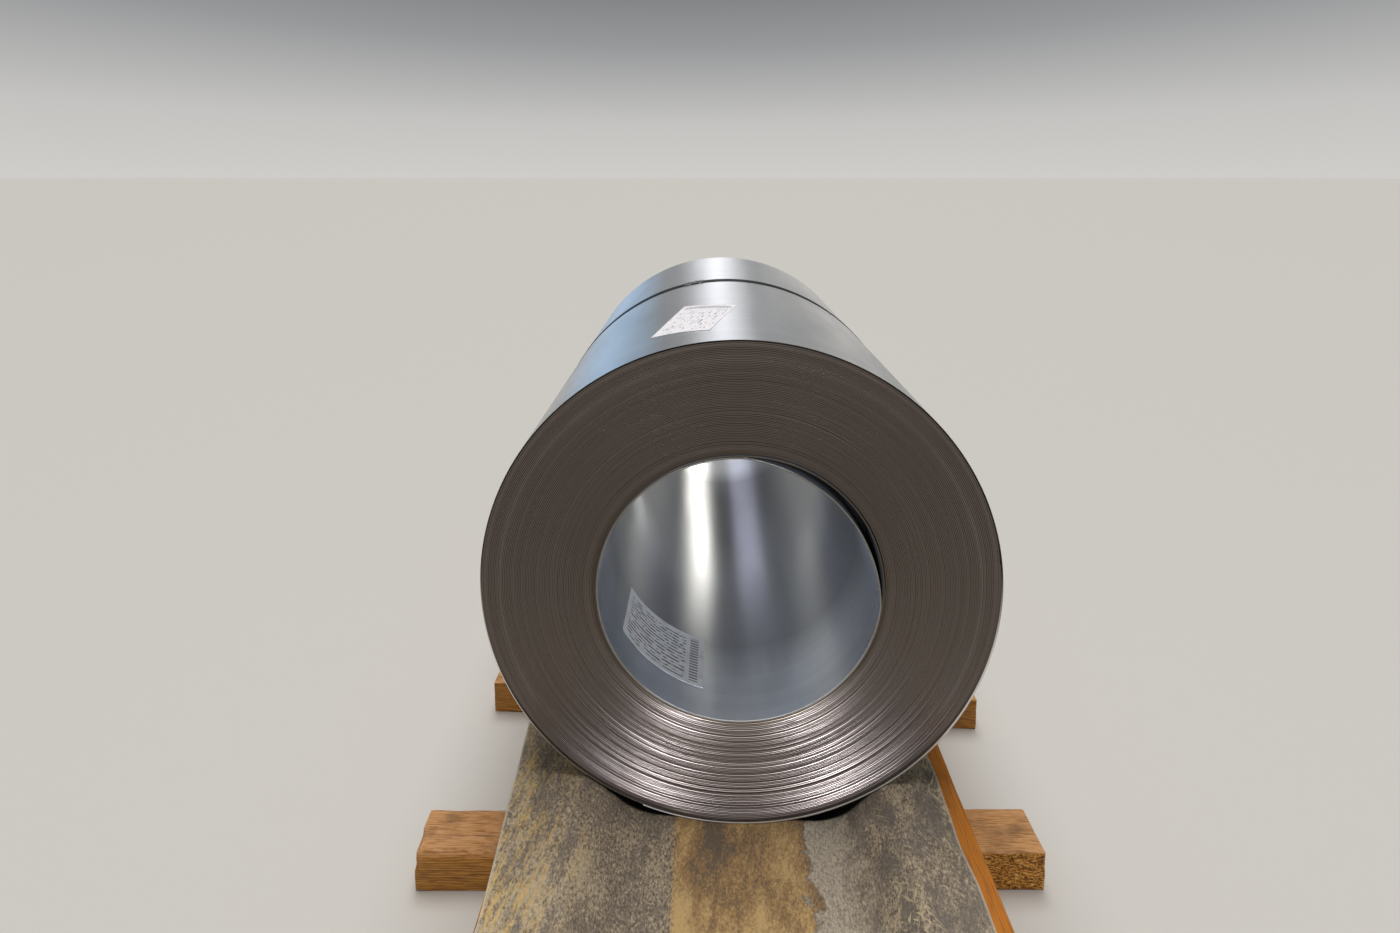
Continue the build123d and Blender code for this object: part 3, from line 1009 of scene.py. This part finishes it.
def rails(wood):
    """The two rails along the coil. The arris that carries the mat is rounded off."""
    ways = [(0, 1, 0), (1, 0, 0)]
    for side, name in ((-1, "left"), (1, "right")):
        arrises = np.full((2, 2), worn_arris)
        arrises[int(side < 0), 1] = rail_inner_arris
        centre = (side * (rail_gap + rail_section) / 2, 0, bearer_section + rail_section / 2)
        mesh = timber_mesh(f"rail_{name}", rail_length, rail_section, arrises, ways, centre, 30 + side)
        dress(f"sawn_rail_{name}", mesh, f"rail_{name}", "sawn_timber", wood)


def bearers(wood, front_wood):
    """The four bearers on the floor, none quite square to the coil. The front one's upper arris
    is crushed at its left end."""
    first_y = first_bearer_from_rail_end - rail_length / 2
    last_y = rail_length / 2 - last_bearer_from_rail_end
    arrises = [(sawn_arris, worn_arris)] * 2
    for index, (off_middle, turn) in enumerate(bearer_places):
        name = f"cross_bearer_{index + 1}"
        y = first_y + (last_y - first_y) * index / (len(bearer_places) - 1)
        centre = (off_middle, y, bearer_section / 2)
        ahead, aside = cos(radians(turn)), sin(radians(turn))
        ways = [(ahead, aside, 0), (-aside, ahead, 0)]
        seed = 40 + 7 * index
        crushed = 0 if index else crush_depth
        mesh = timber_mesh(name, bearer_length, bearer_section, arrises, ways, centre, seed, crushed)
        dress(f"sawn_bearer_{index + 1}", mesh, name, "sawn_timber", wood if index else front_wood)


# Blued and waxed steel strapping: near black, with a soft grey sheen where it is rubbed
blued_strapping = rubbed_metal(
    "blued_strapping", (60, 2, 60), 3.0, [(0.4, "#0E0F11"), (0.75, "#25272B")],
    metallic=0.9, roughness=(0.4, 0.7, 0.65, 0.5),
)

# Thin galvanised sheet, pressed by the crimping tool: pale grey with darker rubbed spots, the darkest near
# black, painted as the shade in its crimps
crimped_zinc_sheet = rubbed_metal(
    "crimped_zinc_sheet", (9, 9, 9), 4.0, [(0.45, "#0E0F10"), (0.5, "#5A5D60"), (0.6, "#A8ABAE")],
    metallic=1.0, roughness=(0.35, 0.65, 0.7, 0.45),
)

outer_strip, wound_body, loose_turns = coil_winding(zinc_coated_strip(), slit_steel_edge(), oily_strip())
strap = strap_band(blued_strapping)
top_label = label_sheet(
    "top_label", "outer_label", ruled_label_paper("label_on_top", "#F2F1F6", "#5C5C66", 0.54),
    middle_angle=99.8, from_near=185 * MM, turn=17.5, inside=False, along_axis=True,
)
inner_label = label_sheet(
    "inner_label", "bore_label", ruled_label_paper("label_in_bore", "#E6E6E4", "#26262A", 0.44),
    middle_angle=233.3, from_near=122 * MM, turn=-1.5, inside=True, along_axis=False,
)
belt_mat(worn_belt_rubber())
rails(sawn_softwood("sawn_softwood_rail", False, "#C87208"))
wood = sawn_softwood("sawn_softwood_bearer", True, "#CC9C70")
bearers(wood, sawn_softwood("torn_softwood_bearer", True, "#CC9C70", torn_from=380 * MM))

seal = frame["nodes"]["strap_seal"]
for slot in seal.material_slots:
    slot.material = crimped_zinc_sheet


def receivers(name, *pieces):
    """The pieces that a lamp shines on."""
    group = bpy.data.collections.new(name)
    for piece in pieces:
        group.objects.link(piece)
    return group


outer_skin = receivers("outer_skin", outer_strip, strap, seal)
turn_ends = receivers("turn_ends", wound_body, loose_turns)
bore_skin = receivers("bore_skin", loose_turns)
whole_coil = receivers(
    "whole_coil", outer_strip, wound_body, loose_turns, strap, seal, top_label, inner_label,
)


def studio_floor():
    """A plain pale floor that runs to the horizon."""
    reach = 300
    mesh = bpy.data.meshes.new("studio_floor")
    corners = [(-reach, -reach, 0), (reach, -reach, 0), (reach, reach, 0), (-reach, reach, 0)]
    mesh.from_pydata(corners, [], [(0, 1, 2, 3)])
    material = new_material("pale_floor")[0]
    mesh.materials.append(give_surface(material, {"Base Color": "#CFCDC9", "Roughness": 0.8}))
    floor = bpy.data.objects.new("studio_floor", mesh)
    bpy.context.scene.collection.objects.link(floor)


def place_light(name, lamp, place, aim, tint):
    """Puts a lamp in the scene, out of the camera's sight."""
    lamp.color = colour(tint)[:3]
    holder = bpy.data.objects.new(name, lamp)
    holder.location = place
    holder.rotation_euler = (Vector(aim) - Vector(place)).to_track_quat("-Z", "Y").to_euler()
    holder.visible_camera = False
    bpy.context.scene.collection.objects.link(holder)
    return holder


def soft_panel(name, lit, place, aim, width, height, brightness, tint):
    """A soft panel light that points at a place and shines on the given pieces alone. Brightness
    1 shows as white in a mirror."""
    lamp = bpy.data.lights.new(name, "AREA")
    lamp.shape = "RECTANGLE"
    lamp.size = width
    lamp.size_y = height
    lamp.energy = brightness * pi * width * height
    place_light(name, lamp, place, aim, tint).light_linking.receiver_collection = lit


def overhead_light():
    """The main light: a broad soft one from above, even over the whole floor."""
    lamp = bpy.data.lights.new("overhead", "SUN")
    lamp.energy = 2.6
    lamp.angle = radians(40)
    place_light("overhead", lamp, (0, 1.5, 10), (0, 0, 0), "#FFFCF7")


def studio_world():
    """A room that is pale near the horizon and darker overhead."""
    world = bpy.data.worlds.new("studio_world")
    bpy.context.scene.world = world
    world.use_nodes = True
    tree = world.node_tree
    tree.nodes.clear()
    direction = add_node(tree, "TexCoord").outputs["Generated"]
    height = add_node(tree, "SeparateXYZ", direction).outputs["Z"]
    tone = set_bands(
        add_node(tree, "ValToRGB", height),
        (0.0, "#CFCDC9"), (0.087, "#C4C3C1"), (0.21, "#97989A"), (0.34, "#6E7073"), (0.6, "#606164"),
    )
    add_node(tree, "OutputWorld", add_node(tree, "Background", tone, 1.0))


def camera():
    """The photograph's viewpoint, fitted to the coil's outline, its bore, its strap and the front
    bearer."""
    lens = bpy.data.cameras.new("camera")
    lens.sensor_width = 36
    lens.lens = 14.914
    lens.shift_x = 0.0071
    lens.shift_y = -0.16
    lens.clip_start = 0.05
    lens.clip_end = 600
    view = bpy.data.objects.new("camera", lens)
    view.location = (-0.0632, -1.4637, 1.3536)
    view.rotation_euler = (radians(90 - 6.58), 0, radians(1.4))
    bpy.context.scene.collection.objects.link(view)
    bpy.context.scene.camera = view


studio_floor()
studio_world()
overhead_light()
coil_top = (0, 0, axis_z + outer_radius)
coil_middle = (0, 0, axis_z)
for width in (0.6, 1.3, 2.1):
    far_place = (-0.07, 8 + width / 10, 3.7)
    soft_panel(f"far_white_{width}", outer_skin, far_place, coil_top, width, 4.6, 0.5, "#FBFAFF")
soft_panel("far_left_cool", outer_skin, (-3.55, 8, 1.35), coil_top, 3.2, 2.5, 0.8, "#7EC6FF")
soft_panel("far_right_warm", outer_skin, (2.9, 8, 1.35), coil_top, 3.0, 2.5, 0.42, "#FFF6EA")
soft_panel("bore_warm", bore_skin, (2.0, 6, 3.5), coil_middle, 1.15, 2.6, 11, "#FFFAF0")
soft_panel("bore_cool", bore_skin, (-1.4, 6, 4.5), coil_middle, 2.0, 1.7, 2.6, "#E8E8FF")
soft_panel("front_left", turn_ends, (-2.05, -4, 3.0), coil_middle, 0.5, 2.4, 210, "#E0E8FC")
soft_panel("front_right", turn_ends, (2.05, -4, 3.0), coil_middle, 0.5, 2.4, 150, "#E0E8FC")
soft_panel("front_broad", whole_coil, (0, -5, 3.8), coil_middle, 5.0, 3.0, 1.5, "#F4F2F6")
camera()
bpy.context.scene.view_settings.view_transform = "Standard"
